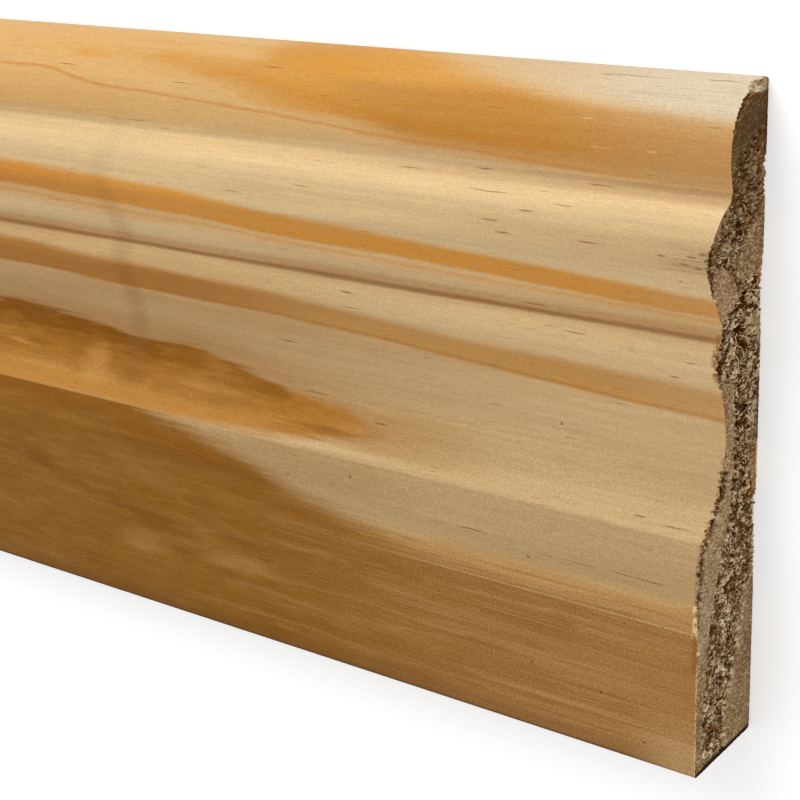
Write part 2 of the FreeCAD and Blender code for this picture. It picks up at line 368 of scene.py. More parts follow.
def spread_edges(section, ring, sunk, edge):
    """Let the end slope down to an edge that is set back, over the next few columns."""
    setback = np.zeros(section.shape)
    setback[ring] = edge
    slope = np.linspace(0, 1, ACROSS + 1)
    width = np.abs(section[:, -1] - section[:, 0])[:, None]
    near_face = np.clip(1 - (1 - slope) * width / FACE_SLOPE, 0, 1) ** 1.5 * setback[:, -1:]
    near_back = np.clip(1 - slope * width / BACK_SLOPE, 0, 1) ** 1.5 * setback[:, :1]
    return np.maximum(sunk, np.maximum(near_face, near_back))


# Distances from the near end of the rows of points, fine ones and coarse ones, and how far the
# unevenness of the ends reaches into them.
NEAR_ROWS = (0.3, 0.7, 1.2, 2, 3.2, 5.5, 10, 18, 32)
FAR_ROWS = (50, 90, 140, 200, 320, 500, 750, 1000, 1250, 1500, 1750, 2000, 2200, 2310, 2360, 2384,
            2393, 2397, 2399.2)
REACH = 32.0


def add_mesh(name, points, faces):
    mesh = bpy.data.meshes.new(name)
    mesh.from_pydata(points, [], faces)
    mesh.update()
    return mesh


def add_object(name, data):
    made = bpy.data.objects.new(name, data)
    bpy.context.scene.collection.objects.link(made)
    return made


def board_points(section, ring, near_sunk, far_sunk):
    """Every point of the board, in metres: near end, fine rows, coarse rows, far end."""
    def place(flat, distances):
        return np.column_stack([(LENGTH / 2 - distances), flat.real - HEIGHT / 2, flat.imag]) * MM

    loop = section[ring]
    parts = [place(section.ravel(), near_sunk.ravel())]
    for distance in NEAR_ROWS:
        parts.append(place(loop, distance + near_sunk[ring] * (1 - distance / REACH)))
    for distance in FAR_ROWS:
        left = LENGTH - distance
        setback = far_sunk[halved(ring)] * max(0, 1 - left / REACH)
        parts.append(place(loop[::2], distance - setback))
    parts.append(place(section[::2, ::2].ravel(), LENGTH - far_sunk.ravel()))
    return np.concatenate(parts)


def number_rows(section, ring):
    """The numbers of the points of both ends' grids and of each row from end to end, and for each
    row between the ends where it starts, its distance, and its step round the section."""
    near_grid = np.arange(section.size).reshape(section.shape)
    rows, starts = [near_grid[ring]], []
    start = section.size
    for distances, step in ((NEAR_ROWS, 1), (FAR_ROWS, 2)):
        for distance in distances:
            starts.append((start, distance, step))
            rows.append(np.arange(start, start + len(ring[0]) // step))
            start += len(ring[0]) // step
    shape = section[::2, ::2].shape
    far_grid = np.arange(start, start + math.prod(shape)).reshape(shape)
    rows.append(far_grid[halved(ring)])
    return near_grid, far_grid, rows, starts


def band_faces(upper, lower):
    """Squares between two rings with the same number of points."""
    return [(upper[k - 1], lower[k - 1], lower[k], upper[k]) for k in range(len(upper))]


def join_faces(fine, coarse):
    """Triangles between a ring and the next, which has half as many points."""
    faces = []
    for k, corner in enumerate(coarse):
        following = coarse[(k + 1) % len(coarse)]
        a, b, c = (fine[(2 * k + n) % len(fine)] for n in range(3))
        faces += [(a, corner, b), (b, corner, following), (b, following, c)]
    return faces


def side_faces(rows):
    faces = []
    for upper, lower in zip(rows, rows[1:]):
        join = band_faces if len(upper) == len(lower) else join_faces
        faces += join(upper, lower)
    return faces


def end_faces(grid, outward):
    """Squares of a sawn end. The near one faces +X, the far one -X."""
    faces = []
    for i in range(grid.shape[0] - 1):
        for j in range(grid.shape[1] - 1):
            face = (grid[i, j], grid[i, j + 1], grid[i + 1, j + 1], grid[i + 1, j])
            faces.append(face if outward > 0 else face[::-1])
    return faces


# The map that colours are baked through: boxes on a square of 1024, each with its left edge, foot,
# width and height. The front and the back are cut into three lengths, and the first, which the
# photograph shows, gets the most room.
MAP_SIDE = 1024
CUTS = (0, 200, 1250, LENGTH)
FRONT_BOXES = ((8, 516, 640, 500), (8, 354, 1008, 154), (8, 192, 1008, 154))
BACK_BOXES = ((816, 516, 200, 170), (8, 100, 1008, 84), (8, 8, 1008, 84))
END_BOXES = ((656, 516, 84, 500), (748, 516, 60, 420))


def in_box(box, across, up):
    left, foot, width, height = box
    return np.stack([left + width * across, foot + height * up], axis=-1) / MAP_SIDE


def lay_out_map(mesh, section, ring, starts, far_grid, end_faces_from):
    """Give each corner of each face its place on the map."""
    loop = section[ring]
    reach = np.concatenate([[0], np.abs(np.diff(np.append(loop, loop[0]))).cumsum()])
    whole, front_end = reach[-1], reach[2 * ACROSS + DOWN]
    around, along = np.zeros((2, len(mesh.vertices)))
    plan = np.zeros(len(mesh.vertices), complex)
    around[np.ravel_multi_index(ring, section.shape)] = reach[:-1]
    for start, distance, step in starts:
        places = reach[:-1:step]
        around[start:start + len(places)] = places
        along[start:start + len(places)] = distance
    plan[:section.size] = section.ravel()
    around[far_grid[halved(ring)]] = reach[:-1:2]
    along[far_grid], plan[far_grid] = LENGTH, section[::2, ::2]

    corner = np.zeros(len(mesh.loops), int)
    mesh.loops.foreach_get("vertex_index", corner)
    first, count = np.zeros((2, len(mesh.polygons)), int)
    mesh.polygons.foreach_get("loop_start", first)
    mesh.polygons.foreach_get("loop_total", count)
    face = np.repeat(np.arange(len(first)), count)
    turn, run, flat = around[corner], along[corner], plan[corner]
    turn = np.where(np.maximum.reduceat(turn, first)[face] - turn > whole / 2, turn + whole, turn)
    middle_turn = (np.add.reduceat(turn, first) / count)[face]
    middle_run = (np.add.reduceat(run, first) / count)[face]
    is_end = face >= end_faces_from
    places = np.zeros((len(corner), 2))
    for low, high, front_box, back_box in zip(CUTS, CUTS[1:], FRONT_BOXES, BACK_BOXES):
        here = (middle_run >= low) & (middle_run <= high) & ~is_end
        front = here & (middle_turn < front_end)
        back = here & (middle_turn >= front_end)
        share = (run - low) / (high - low)
        places[front] = in_box(front_box, share[front], turn[front] / front_end)
        up = (turn[back] - front_end) / (whole - front_end)
        places[back] = in_box(back_box, share[back], up)
    for box, here in zip(END_BOXES, (is_end & (middle_run < 1), is_end & (middle_run > 1))):
        places[here] = in_box(box, flat[here].imag / THICKNESS, flat[here].real / HEIGHT)
    layer = mesh.uv_layers.new(name="OFBake", do_init=False)
    layer.uv.foreach_set("vector", places.astype(np.float32).ravel())


def near_end(section, ring):
    """The near end, torn, with its two long corners torn back and its top rounded over: how far
    each point is sunk, how torn it is, its bundle's tone, and how near a torn edge it lies."""
    heights = section[ring].real
    flat_sunk, torn, tone = torn_end(section, 0.0)
    edge = 0.08 + (ring[1] == ACROSS) * torn_back(heights, FACE_TEAR, 2.0)
    edge = edge + (ring[1] == 0) * torn_back(heights, BACK_TEAR, 7.0)
    sunk = np.maximum(spread_edges(section, ring, flat_sunk, edge), rounded_lip(section))
    from_face = np.abs(section - section[:, -1:])
    fringe = 0.5 * smoothstep(np.interp(section.real, *zip(*FRAYED)) * 0.55 - from_face, -0.25, 0.35)
    return sunk, torn, tone, np.maximum(np.maximum(sunk - flat_sunk, 0), fringe)


def make_board():
    face, back = face_path(), evenly(back_path(), DOWN)
    shares = np.linspace(0, 1, ACROSS + 1)
    section = back[:, None] * (1 - shares) + face[:, None] * shares
    ring = ring_places()
    near = near_end(section, ring)
    far = torn_end(section[::2, ::2], 40.0)
    near_grid, far_grid, rows, starts = number_rows(section, ring)
    sides = side_faces(rows)
    ends = end_faces(near_grid, 1) + end_faces(far_grid, -1)

    points = board_points(section, ring, near[0], far[0])
    mesh = add_mesh("board", points.tolist(), [tuple(map(int, f)) for f in sides + ends])
    for name, near_values, far_values in zip(END_VALUES, near, (*far, 0 * far[0])):
        values = np.zeros(len(points), np.float32)
        values[near_grid] = near_values
        values[far_grid] = far_values
        mesh.attributes.new(name, "FLOAT", "POINT").data.foreach_set("value", values)
    mesh.polygons.foreach_set("material_index", [0] * len(sides) + [1] * len(ends))
    mesh.shade_smooth()
    mesh.set_sharp_from_angle(angle=math.radians(SHARP_FROM))
    soften_inside(mesh, near_grid)
    lay_out_map(mesh, section, ring, starts, far_grid, len(sides))
    return add_object("moulded_board", mesh), make_fibres(section, near[1], near[0])


def soften_inside(mesh, grid):
    """Torn fibres shade softly: inside the end no edge is a sharp one."""
    inner = set(grid[1:-1, 1:-1].ravel().tolist())
    for edge in mesh.edges:
        if edge.use_edge_sharp and (edge.vertices[0] in inner or edge.vertices[1] in inner):
            edge.use_edge_sharp = False


# Fibres that stand out singly: height and depth of one end, then of the other, bow, thickness.
LONG_FIBRES = (
    (77.6, 8.6, 73.2, 3.4, 1.2, 0.22), (76.4, 9.6, 71.8, 5.6, 1.1, 0.2),
    (78.4, 6.4, 75, 2.6, 0.9, 0.18), (75.2, 9.9, 70.6, 7.8, 0.8, 0.22),
    (79.2, 10.6, 74.6, 8.8, 0.5, 0.2), (72.6, 12, 69, 10.4, 0.5, 0.18),
    (91.4, 15.4, 86.6, 12, 0.7, 0.24), (90, 16.4, 86.2, 14, 0.5, 0.2),
    (93.6, 13.6, 90, 12.6, 0.5, 0.26), (100.4, 9.6, 97, 6.2, 0.8, 0.28),
    (98.8, 7, 96.8, 3.6, 0.5, 0.22), (59.6, 9.6, 56.6, 7.4, 0.9, 0.2), (61.4, 11, 57.6, 10, 0.7, 0.2),
    (55.6, 11.4, 51.4, 9.6, 0.8, 0.22), (57.8, 12.2, 53.6, 12.6, 0.6, 0.18),
    (42.6, 6.6, 39.6, 9, 0.6, 0.22), (38.4, 4.6, 35, 7.4, 0.8, 0.24), (31, 9.4, 28.2, 12.6, 0.6, 0.22),
)

# Splinters scattered at random: how many, how far from the ends of the section, and the least and
# most of half their length, of their bow and of their thickness.
SHORT_FIBRES = 420
CLEAR_OF_EDGE = 1.2
HALF_LONG = (0.35, 0.95)
BOW = (-0.25, 0.25)
THICK = (0.14, 0.3)

# Their slant in degrees, above this height and below it, and how much it spreads.
SLANT_CHANGE = 60
UPPER_SLANT = -40
LOWER_SLANT = -15
SLANT_SPREAD = 30

# A splinter is a closed tube: points in a ring, and rings. Its top lies this far below the saw's
# plane, and its two ends dive so much deeper.
FIBRE_SIDES = 5
FIBRE_RINGS = 7
FIBRE_TOP = 0.12
FIBRE_DIVE = 1.1


def fibre_points(start, end, bow, thick):
    """A curved splinter whose two ends dive into the sawn end."""
    along = end - start
    across = 1j * along / abs(along)
    points = []
    for ring in range(FIBRE_RINGS):
        share = (ring + 0.5) / FIBRE_RINGS
        arch = math.sin(math.pi * share)
        middle = start + along * share + across * bow * arch
        radius = 0.5 * thick * arch ** 0.5
        below = FIBRE_TOP + thick / 2 + FIBRE_DIVE * (1 - arch) ** 1.5
        for side in range(FIBRE_SIDES):
            turn = 2 * math.pi * side / FIBRE_SIDES
            flat = middle + across * radius * math.cos(turn)
            x = LENGTH / 2 - below + radius * math.sin(turn)
            points.append((x * MM, (flat.real - HEIGHT / 2) * MM, flat.imag * MM))
    return points


def fibre_faces(first):
    """The two caps and the sides of a splinter whose points are numbered from here."""
    last = first + (FIBRE_RINGS - 1) * FIBRE_SIDES
    faces = [tuple(reversed(range(first, first + FIBRE_SIDES)))]
    for start in range(first, last, FIBRE_SIDES):
        for side in range(FIBRE_SIDES):
            a, b = start + side, start + (side + 1) % FIBRE_SIDES
            faces.append((a, b, b + FIBRE_SIDES, a + FIBRE_SIDES))
    return faces + [tuple(range(last, last + FIBRE_SIDES))]


def short_fibres(section, torn, sunk):
    """Places for small splinters, drawn at random from where the end is torn."""
    dice = random.Random(11)
    spots = np.argwhere((torn > 0.7) & (sunk < 1.2))
    found = []
    for _ in range(SHORT_FIBRES):
        row, column = spots[dice.randrange(len(spots))]
        middle = section[row, column]
        in_height = CLEAR_OF_EDGE < middle.real < HEIGHT - CLEAR_OF_EDGE
        if not in_height or abs(section[row, -1] - middle) < 1.0 or middle.imag < 0.8:
            continue
        slant = UPPER_SLANT if middle.real > SLANT_CHANGE else LOWER_SLANT
        slant = math.radians(dice.gauss(slant, SLANT_SPREAD))
        half = cmath.rect(dice.uniform(*HALF_LONG), slant)
        found.append((middle - half, middle + half, dice.uniform(*BOW), dice.uniform(*THICK)))
    return found


def make_fibres(section, torn, sunk):
    points, faces = [], []
    long = [(a + 1j * b, c + 1j * d, bow, thick) for a, b, c, d, bow, thick in LONG_FIBRES]
    for start, end, bow, thick in long + short_fibres(section, torn, sunk):
        faces += fibre_faces(len(points))
        points += fibre_points(start, end, bow, thick)
    mesh = add_mesh("fibres", points, faces)
    mesh.shade_smooth()
    return add_object("torn_fibres", mesh)


# Materials. A pattern is worked out in millimetres: run from the near end, up from the foot edge,
# out from the back. A colour is written as 0 to 255 for the screen.

MM_IN_METRE = 1000


def linear(red, green, blue):
    """A colour for the screen as the shaders take it."""
    parts = []
    for part in (red, green, blue):
        part /= 255
        parts.append(part / 12.92 if part <= 0.04045 else ((part + 0.055) / 1.055) ** 2.4)
    return (*parts, 1.0)


class Value:
    """A number worked out by a material's nodes, so that a pattern reads as a formula."""

    def __init__(self, tree, socket):
        self.tree = tree
        self.socket = socket

    def node(self, kind, inputs, **settings):
        return add_node(self.tree, kind, inputs, **settings)

    def math(self, operation, *others):
        made = self.node("ShaderNodeMath", (self, *others), operation=operation)
        return Value(self.tree, made.outputs[0])

    __add__ = partialmethod(math, "ADD")
    __sub__ = partialmethod(math, "SUBTRACT")
    __mul__ = partialmethod(math, "MULTIPLY")
    __truediv__ = partialmethod(math, "DIVIDE")
    __abs__ = partialmethod(math, "ABSOLUTE")
    larger = partialmethod(math, "MAXIMUM")
    smaller = partialmethod(math, "MINIMUM")

    def step(self, low, high):
        """0 below low, 1 above high, and a soft step between them."""
        made = self.node("ShaderNodeMapRange", (self, low, high), interpolation_type="SMOOTHSTEP")
        return Value(self.tree, made.outputs[0])

    def curve(self, points, span, rise, handles="AUTO_CLAMPED"):
        """A curve drawn through (value, result) points, from 0 to a span and a rise."""
        made = self.node("ShaderNodeFloatCurve", {"Value": self / span})
        drawn = made.mapping.curves[0]
        first, *others, last = points
        drawn.points[0].location = (first[0] / span, first[1] / rise)
        drawn.points[1].location = (last[0] / span, last[1] / rise)
        for place, result in others:
            drawn.points.new(place / span, result / rise)
        for point in drawn.points:
            point.handle_type = handles
        made.mapping.update()
        return Value(self.tree, made.outputs[0]) * rise


class Coat:
    """A colour, and others laid over it one after another."""

    def __init__(self, colour):
        self.colour = linear(*colour)

    def add(self, share, colour):
        """Lay a colour or a coat over this one: none of it where the share is 0, all at 1."""
        above = colour.colour if isinstance(colour, Coat) else linear(*colour)
        inputs = {"Factor": share, "A": self.colour, "B": above}
        made = share.node("ShaderNodeMix", inputs, data_type="RGBA")
        self.colour = made.outputs["Result"]

    def shade(self, value):
        """Make it brighter or darker: a value of 1 leaves it as it is."""
        made = value.node("ShaderNodeHueSaturation", {"Value": value, "Color": self.colour})
        self.colour = made.outputs["Color"]


def connect(tree, socket, value):
    """Link a value to a socket, or write it there if it is a plain one."""
    if isinstance(value, Value):
        tree.links.new(value.socket, socket)
    elif isinstance(value, bpy.types.NodeSocket):
        tree.links.new(value, socket)
    else:
        socket.default_value = value


def fill(tree, made, inputs):
    """Link or write a node's inputs, given in their order or by name."""
    pairs = inputs.items() if isinstance(inputs, dict) else enumerate(inputs)
    for key, value in pairs:
        connect(tree, made.inputs[key], value)


def add_node(tree, kind, inputs, **settings):
    made = tree.nodes.new(kind)
    for name, value in settings.items():
        setattr(made, name, value)
    fill(tree, made, inputs)
    return made


def noise_of(place, stretch, detail, roughness, seed):
    """Noise whose grains have the given sizes along, up and out, in millimetres."""
    run, up, out = (value / size for value, size in zip(place, stretch))
    moved = run.node("ShaderNodeCombineXYZ", (run + seed, up, out))
    made = run.node("ShaderNodeTexNoise", {
        "Vector": moved.outputs[0], "Scale": 1.0, "Detail": detail, "Roughness": roughness,
    })
    return Value(run.tree, made.outputs[0])


def start_material(name):
    """A material, its tree, its shader, and the place on the board."""
    material = bpy.data.materials.new(name)
    material.use_nodes = True
    tree = material.node_tree
    coordinates = tree.nodes.new("ShaderNodeTexCoord")
    parts = add_node(tree, "ShaderNodeSeparateXYZ", (coordinates.outputs["Object"],))
    x, y, z = (Value(tree, socket) * MM_IN_METRE for socket in parts.outputs)
    place = (x * -1 + LENGTH / 2, y + HEIGHT / 2, z)
    return material, tree, tree.nodes["Principled BSDF"], place


def add_surface(tree, shader, coat, roughness, specular):
    inputs = {"Base Color": coat.colour, "Roughness": roughness, "Specular IOR Level": specular}
    fill(tree, shader, inputs)


def add_bump(tree, shader, relief, strength, distance):
    inputs = {"Strength": strength, "Distance": distance, "Height": relief}
    made = add_node(tree, "ShaderNodeBump", inputs)
    fill(tree, shader, {"Normal": made.outputs["Normal"]})


# The grain on the face. Each curve is drawn through (millimetres from the near end, height).
SPAN = 240
BAND_A_TOP = (
    (0, 86), (10, 86.5), (30, 87.5), (50, 88.5), (70, 89.6), (90, 90.2), (110, 91.9), (140, 92.9),
    (170, 93.4), (240, 91),
)
BAND_A_FOOT = (
    (0, 82.4), (10, 82.6), (30, 83.4), (50, 84.3), (70, 84.8), (90, 85), (110, 86.3), (140, 87.3),
    (170, 88.2), (240, 86),
)
UNDER_A = ((0, 81.6), (30, 82.4), (60, 83.2), (88, 84), (110, 84.9), (140, 85.6), (170, 86.6), (240, 84))
BAND_B_TOP = (
    (0, 69.2), (30, 70.2), (50, 70.6), (70, 71.6), (88, 72.9), (100, 73.6), (120, 73.8), (140, 74.2),
    (170, 75.2), (240, 74),
)
BAND_B_FOOT = (
    (0, 63.4), (30, 64.6), (50, 65.6), (70, 66.8), (88, 67.4), (100, 67.9), (120, 68.3), (140, 68.5),
    (170, 69.2), (240, 69),
)
FIGURE_TOP = (
    (0, 48), (60, 48.2), (71, 49.4), (79, 51.2), (88, 52), (95, 52.8), (103, 54.4), (113, 56.3),
    (122, 57.6), (135, 56.8), (144, 58), (152, 58.7), (170, 59.8), (240, 54),
)
FIGURE_FOOT = (
    (0, 49), (60, 48.4), (76, 46.8), (88, 45.5), (101, 44.7), (115, 44.3), (170, 44.3), (240, 46),
)
PLINTH_TOP = (
    (0, 31.4), (30, 31), (50, 30.6), (70, 31.9), (82, 33.8), (88, 35.3), (101, 39.4), (113, 42.1),
    (126, 44), (140, 46), (165, 47), (240, 44),
)
VEIN = ((0, 14), (85, 14), (117, 18.8), (128, 20.6), (140, 22.3), (152, 24.3), (165, 28), (240, 30))
PATCH_TOP = (
    (0, 112.8), (12, 113.4), (30, 114.4), (42, 115.8), (54, 117.4), (68, 120), (78, 121), (90, 121),
    (104, 117.5), (125, 117), (160, 116), (240, 117),
)
PATCH_FOOT = (
    (0, 102.8), (30, 104), (50, 104.6), (62, 105.4), (74, 107.6), (88, 109.4), (101, 110.9),
    (122, 113.8), (160, 115.8), (240, 113),
)
BEAD_LINE = (
    (0, 102.8), (26, 103.4), (51, 104.6), (70, 105.6), (88, 106.9), (101, 107.8), (125, 109),
    (141, 109.8), (160, 112.2), (240, 110),
)

# How pale the clear wood is at each height up the face, from 0 for tan to 1 for cream. It also holds
# painted light: a painted highlight on the top of the torus, painted shade at the groove, and a face
# that is paler towards the top, partly as the wood is and partly as painted light.
PALENESS = (
    (0, 0), (30, 0), (43.9, 0), (44.4, 0.32), (47, 0.26), (50, 0.05), (58, 0.2), (66, 0.5), (72, 0.88),
    (74.5, 0.5), (76.6, 0.27), (77.8, 0.2), (78.4, 0), (79.6, 0.08), (81.2, 0.72), (83, 0.95),
    (88, 0.9), (92, 0.62), (94.8, 0.38), (96.5, 0.5), (99.3, 1), (100.8, 0.78), (102.4, 0.46),
    (104, 0.55), (110, 0.7), (119, 0.7),
)

# Resin marks and pale flakes: distance from the near end, height, half length, half width. Dark
# specks: distance and height.
MARKS = (
    (30, 35.6, 3.4, 0.1), (22.8, 35.75, 4.6, 0.18), (15, 35.8, 4.2, 0.16), (9, 35.7, 3.8, 0.22),
    (46, 36.9, 4.6, 0.2), (54, 36.6, 3, 0.1), (60, 31.6, 4.5, 0.16), (71, 50.3, 2.6, 0.26),
    (13.2, 45.7, 1.9, 0.2), (6.5, 45.3, 4, 0.14), (34, 20.9, 8, 0.14), (14.5, 8.9, 4, 0.14),
    (22.1, 93.4, 3, 0.2), (38.7, 93, 2.3, 0.26), (42, 94.8, 2.6, 0.14), (35.3, 96.8, 2.4, 0.2),
    (28.8, 98.2, 2.8, 0.12), (44, 98.8, 6, 0.12), (47, 101.7, 2.6, 0.18), (24, 101.2, 4, 0.16),
    (22, 118.4, 10, 0.07), (6, 118.6, 5, 0.08), (76.7, 76, 2.4, 0.22), (76, 73, 3.6, 0.15),
    (94.5, 62.6, 3.4, 0.22), (87, 53.3, 4.5, 0.2), (27, 76, 3.2, 0.16), (8.5, 70.9, 1.6, 0.22),
    (5, 74.2, 1.7, 0.16), (36, 79.4, 4.2, 0.22), (62, 100.6, 3.4, 0.1), (84, 96, 3, 0.12),
    (100, 93.5, 3, 0.12), (118, 111.5, 4, 0.12), (96, 115.6, 3.5, 0.12), (150, 113, 4, 0.14),
    (131, 103, 3, 0.12), (20, 63.4, 3, 0.12), (46, 58.2, 2.6, 0.1), (3.2, 93.3, 1.3, 0.26),
    (4.4, 92.1, 1.5, 0.22), (1.4, 94, 1.1, 0.4), (5.6, 88.8, 0.5, 0.26), (8.6, 93, 1.2, 0.24),
    (1.8, 91.6, 1, 0.3),
)
SPECKS = ((33.9, 34.4), (18.9, 11.6), (74.3, 40.9), (32, 57.3), (33.4, 13.4), (10.2, 4.1))
SPECK_LONG = 0.42
SPECK_HIGH = 0.38
FLAKES = (
    (26.8, 112.1, 2, 0.16), (24.4, 107.7, 2.2, 0.2), (14.2, 107.8, 1.6, 0.16), (35.8, 115.2, 6.4, 0.14),
)

# Soft patches, in the same way: orange ones on the bead, dark and pale ones in the figure
# and on the plinth.
BEAD_GLOW = (
    (88, 117, 15, 2.6), (96, 113.7, 14, 1.5), (110, 113.8, 9, 1.1), (123, 116, 6, 2),
    (144, 115.2, 8, 1.6), (90, 109.6, 14, 2),
)
DARK_PATCHES = (
    (161, 51.3, 8, 1), (127, 53.9, 15, 1.5), (99, 51.8, 10, 1.7), (78, 47.4, 14, 1.1),
    (125, 21.5, 34, 1.6), (148, 40.8, 20, 3), (116, 37.6, 20, 2), (150, 6.5, 22, 2.6),
    (105, 21, 14, 1.8), (68, 8, 24, 2.2), (143, 29, 26, 3.4),
)
PALE_PATCHES = (
    (163, 47.6, 12, 1.4), (145, 47, 14, 1.4), (116, 49.8, 11, 1.5), (93, 48.5, 4, 0.8),
    (167, 51, 6, 0.8), (86, 33.4, 13, 3.2), (131, 14, 14, 4), (103, 15.5, 14, 3), (84, 23, 14, 1.4),
    (56, 21.8, 28, 1.8),
)

CREAM = (222, 191, 142)
TAN = (175, 146, 103)
HONEY = (215, 164, 92)
ORANGE = (208, 140, 48)
AMBER = (164, 108, 40)
BROWN = (150, 108, 60)
# Pale dust with a painted sheen in it, for the top of the bead.
DUST_AND_SHEEN = (212, 194, 165)
RESIN = (128, 80, 38)


# Heights on the face that patterns keep to: the crease over the plinth, the top of the dark heart,
# the groove and the quirk.
CREASE_AT = 44.0
HEART_AT = 27.9
GROOVE_AT = 78.3
QUIRK_AT = 101.9


def band(value, top, foot, soft_top, soft_foot):
    """1 between two edges, with a softness at each."""
    return (value - foot).step(-soft_foot, soft_foot) * (value - top).step(soft_top, -soft_top)


def around(value, middle, far, close):
    """1 when closer than one distance to a middle, 0 when farther than another."""
    return abs(value - middle).step(far, close)


def stripe(value, middle, half):
    """1 on a line and 0 beyond half a width from it."""
    return around(value, middle, half, half * 0.2)


def edge(run, points):
    """The height of a drawn curve at a distance from the near end."""
    return run.smaller(SPAN).curve(points, SPAN, HEIGHT)


def nearest(run, up, marks):
    """1 in the middle of the marks, 0 outside them. A mark is a long, flat oval."""
    place = run.node("ShaderNodeCombineXYZ", (run, up)).outputs[0]
    found = None
    for along, high, half, width in marks:
        scale = (1 / half, 1 / width, 0.0)
        offset = (-along / half, -high / width, 0.0)
        moved = run.node("ShaderNodeVectorMath", (place, scale, offset), operation="MULTIPLY_ADD")
        away = run.node("ShaderNodeVectorMath", (moved.outputs[0],), operation="LENGTH")
        away = Value(run.tree, away.outputs["Value"])
        found = away if found is None else found.smaller(away)
    return found.step(1.0, 0.2)


def clear_wood(run, up, broad, streak):
    """The wood between the bands."""
    coat = Coat(TAN)
    # This paleness holds a painted highlight on the torus top and painted shade at the groove.
    pale = up.curve(PALENESS, HEIGHT, 1.0, "VECTOR")
    coat.add(pale + (broad - 0.5) * 0.5 + (streak - 0.5) * 0.35, CREAM)
    coat.add(up.step(101, 106) * (run.step(50, 165) * 0.38 + 0.35), HONEY)
    coat.add(around(up, 60, 14, 4) * run.step(25, 110) * 0.45, BROWN)
    coat.add(band(up, CREASE_AT, 33, 0.3, 4) * 0.2, (156, 124, 82))
    coat.add(up.step(96.2, 94.4) * up.step(89.5, 92) * run.step(85, 15) * 0.32, (152, 118, 80))
    return coat


def paint_bead(coat, run, up, level, broad, streak):
    """The orange patch on the bead, and the pale dust and painted sheen over it."""
    top, foot = edge(run, PATCH_TOP), edge(run, PATCH_FOOT)
    loose = level + (broad - 0.5) * 5
    tone = Coat((199, 139, 54))
    tone.add(run.step(90, 62), (186, 126, 44))
    tone.add(run.step(40, 4), (184, 136, 80))
    tone.add(band(run, 78, 48, 14, 12) * up.step(113.5, 116) * 0.45, (228, 168, 80))
    patch = band(loose, top, foot, 2.4, 3)
    coat.add(patch * run.step(230, 70) * (streak * 0.4 + 0.72), tone)
    coat.add(nearest(run + (broad - 0.5) * 30, loose, BEAD_GLOW) * 0.42, ORANGE)
    line = stripe(level, edge(run, BEAD_LINE), 0.55)
    coat.add(line * (run.step(0, 45) * 0.35 + 0.15), (196, 124, 44))
    deep = band(level + (broad - 0.5) * 3, foot + 3.2, foot + 0.2, 1.4, 1.4)
    coat.add(deep * band(run, 112, 34, 16, 12) * (streak * 0.8 + 0.3) * 0.34, (186, 114, 24))
    # Pale dust and painted sheen over the top of the bead, palest at the near end.
    dust_and_sheen = (level - top).step(-0.6, 2.8)
    coat.add(dust_and_sheen * run.step(95, 35), (206, 176, 134))
    coat.add(dust_and_sheen * run.step(48, 6), DUST_AND_SHEEN)


def paint_bands(coat, run, level, streak):
    """The two bands of late wood above the hollow, each with a soft tail."""
    top, foot = edge(run, BAND_A_TOP), edge(run, BAND_A_FOOT)
    coat.add(band(level, foot, foot - 3.2, 0.3, 1.8) * (run.step(95, 145) * 0.22 + 0.2), ORANGE)
    tone = Coat(ORANGE)
    tone.add(run.step(30, 3), (200, 142, 72))
    tone.add(run.step(115, 150) * 0.5, (188, 116, 22))
    coat.add(band(level, top, foot, 0.9, 0.45) * (streak * 0.4 + 0.7), tone)
    coat.add(stripe(level, edge(run, UNDER_A), 0.7) * 0.38, ORANGE)

    top, foot = edge(run, BAND_B_TOP), edge(run, BAND_B_FOOT)
    coat.add(band(level, top + 3, foot - 3.5, 1.8, 2.2) * (run.step(50, 110) * 0.14 + 0.1), AMBER)
    tone = Coat((186, 136, 74))
    tone.add(run.step(70, 125), AMBER)
    tone.add(run.step(26, 6) * 0.8, (188, 144, 90))
    coat.add(band(level, top, foot, 1.1, 0.5) * (streak * 0.3 + 0.78), tone)
    coat.add(stripe(level, foot + 0.5, 0.6) * 0.4, AMBER)


def paint_figure(coat, run, level, broad, streak, mottle):
    """The dark figure in the hollow."""
    top, foot = edge(run, FIGURE_TOP), edge(run, FIGURE_FOOT)
    frayed = level + (streak - 0.5) * 2.6
    loose_run = run + (broad - 0.5) * 30
    coat.add(band(level, top + 4, top, 3, 0.5) * run.step(70, 100) * 0.3, (140, 92, 30))
    tip = band(frayed, 53, 45.4, 1.2, 0.7) * run.step(34, 70) * run.step(104, 86)
    coat.add(tip * 0.42, (150, 100, 34))
    down = (top - level + (streak - 0.5) * 3) / (top - foot).larger(2)
    tone = Coat((122, 72, 0))
    for share, colour in (
        (down.step(0.22, 0.52), (150, 100, 30)),
        (down.step(0.58, 0.92) * run.step(75, 115), (176, 124, 54)),
        (nearest(loose_run, level, PALE_PATCHES[:5]) * 0.42, (186, 138, 72)),
        (run.step(136, 116) * 0.3, (166, 116, 48)),
        (run.step(108, 84) * 0.7, (166, 110, 36)),
        (nearest(loose_run, level, DARK_PATCHES[:4]) * 0.6, (130, 80, 4)),
        (mottle.step(0.42, 0.74) * 0.24, (190, 138, 64)),
        (mottle.step(0.56, 0.28) * 0.24, (126, 80, 14)),
        (around(run, 137, 5.5, 1) * band(level, 56, 46.5, 1.5, 2) * 0.34, (136, 88, 38)),
        (around(run, 147, 5.5, 1) * band(level, 53, 45.5, 2, 2) * 0.3, (204, 154, 88)),
    ):
        tone.add(share, colour)
    coat.add(band(frayed, top, foot, 0.8, 0.8) * run.step(58, 86), tone)
    coat.add(band(level, 46.8, 44, 0.8, 0.2) * run.step(82, 125) * 0.7, (178, 124, 52))


